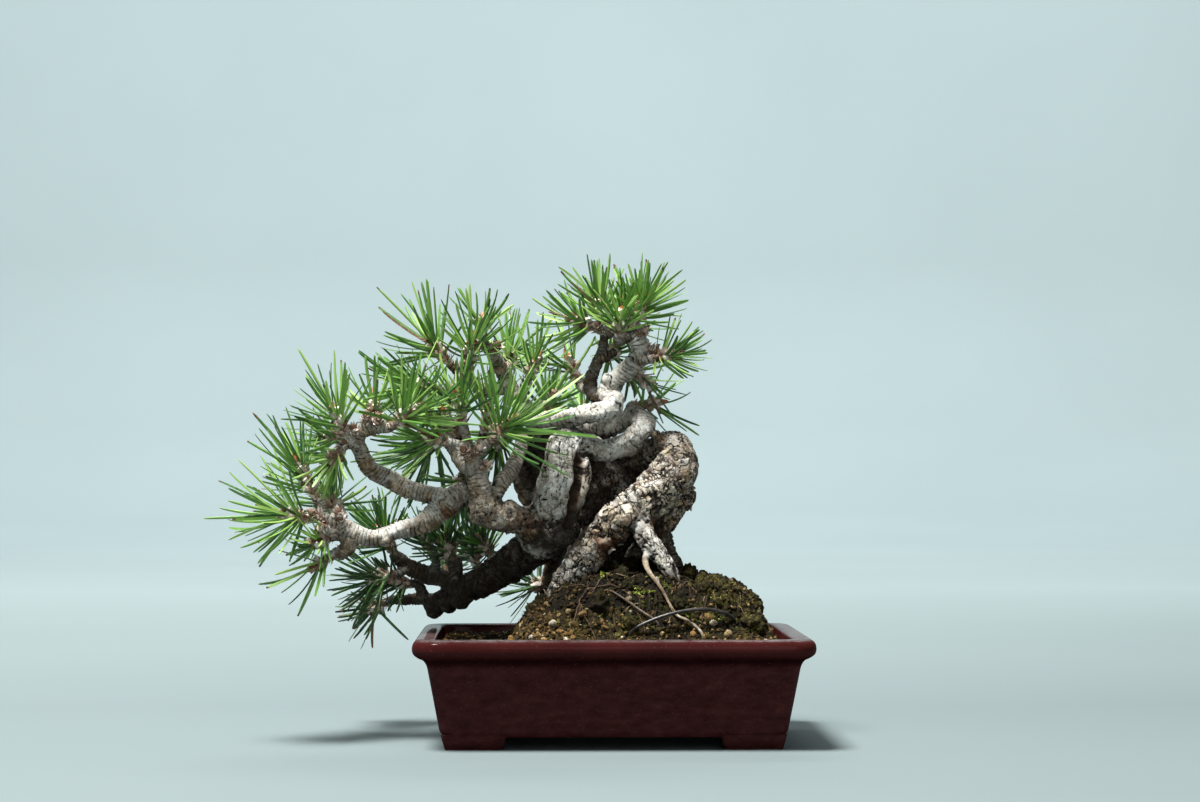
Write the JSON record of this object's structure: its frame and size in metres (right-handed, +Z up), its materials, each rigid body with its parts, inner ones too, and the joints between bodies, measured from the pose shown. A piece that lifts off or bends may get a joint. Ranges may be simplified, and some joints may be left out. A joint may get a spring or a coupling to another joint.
{
  "type": "japanese black pine bonsai in a pot",
  "caption": "Small Japanese black pine bonsai with a coiled exposed-root trunk and a crown swept to one side, on a steep soil mound in a glazed rectangular pot on corner feet.",
  "frame": {"origin": "on the surface that the pot's feet stand on, under the middle of the whole outline, crown and pot together", "axes": "+Z up; +X along the pot's long side, away from the side that the crown hangs out over; -Y is the front that the picture shows"},
  "size_m": [0.194, 0.1188, 0.1596],
  "materials": {
    "glaze": "dark burgundy gloss glaze on stoneware",
    "screen_plastic": "moulded mesh",
    "soil": "moist granular soil with moss and roots",
    "bark": "cracked grey-brown pine bark",
    "wire": "dark glossy wire",
    "needles": "waxy green pine needles"
  },
  "bodies": {
    "root": {"pot": "glaze", "drain_screen_left": "screen_plastic", "drain_screen_right": "screen_plastic", "soil": "soil", "tree": "bark", "tie_wire": "wire", "spray_apex_left": "needles", "spray_apex_up": "needles", "spray_apex_top": "needles", "spray_apex_back": "needles", "spray_apex_right": "needles", "spray_apex_under": "needles", "spray_rear_right": "needles", "spray_inner_up": "needles", "spray_top_small": "needles", "spray_up_left": "needles", "spray_up_bud": "needles", "spray_up_right": "needles", "spray_mid_left": "needles", "spray_left_bud": "needles", "spray_left_crown": "needles", "spray_left_crown_low": "needles", "spray_far_left": "needles", "spray_far_left_up": "needles", "spray_far_left_low": "needles", "spray_left_back": "needles", "spray_front": "needles", "spray_front_up": "needles", "spray_front_left": "needles", "spray_hang_mid": "needles", "spray_low_brown": "needles", "spray_low_side": "needles", "spray_low_tip": "needles", "spray_low_up": "needles", "spray_low_rear": "needles", "spray_rear_low": "needles", "spray_rear_right_low": "needles", "spray_rear_top": "needles", "spray_rear_left": "needles", "spray_rear_mid": "needles"}
  },
  "joints": []
}
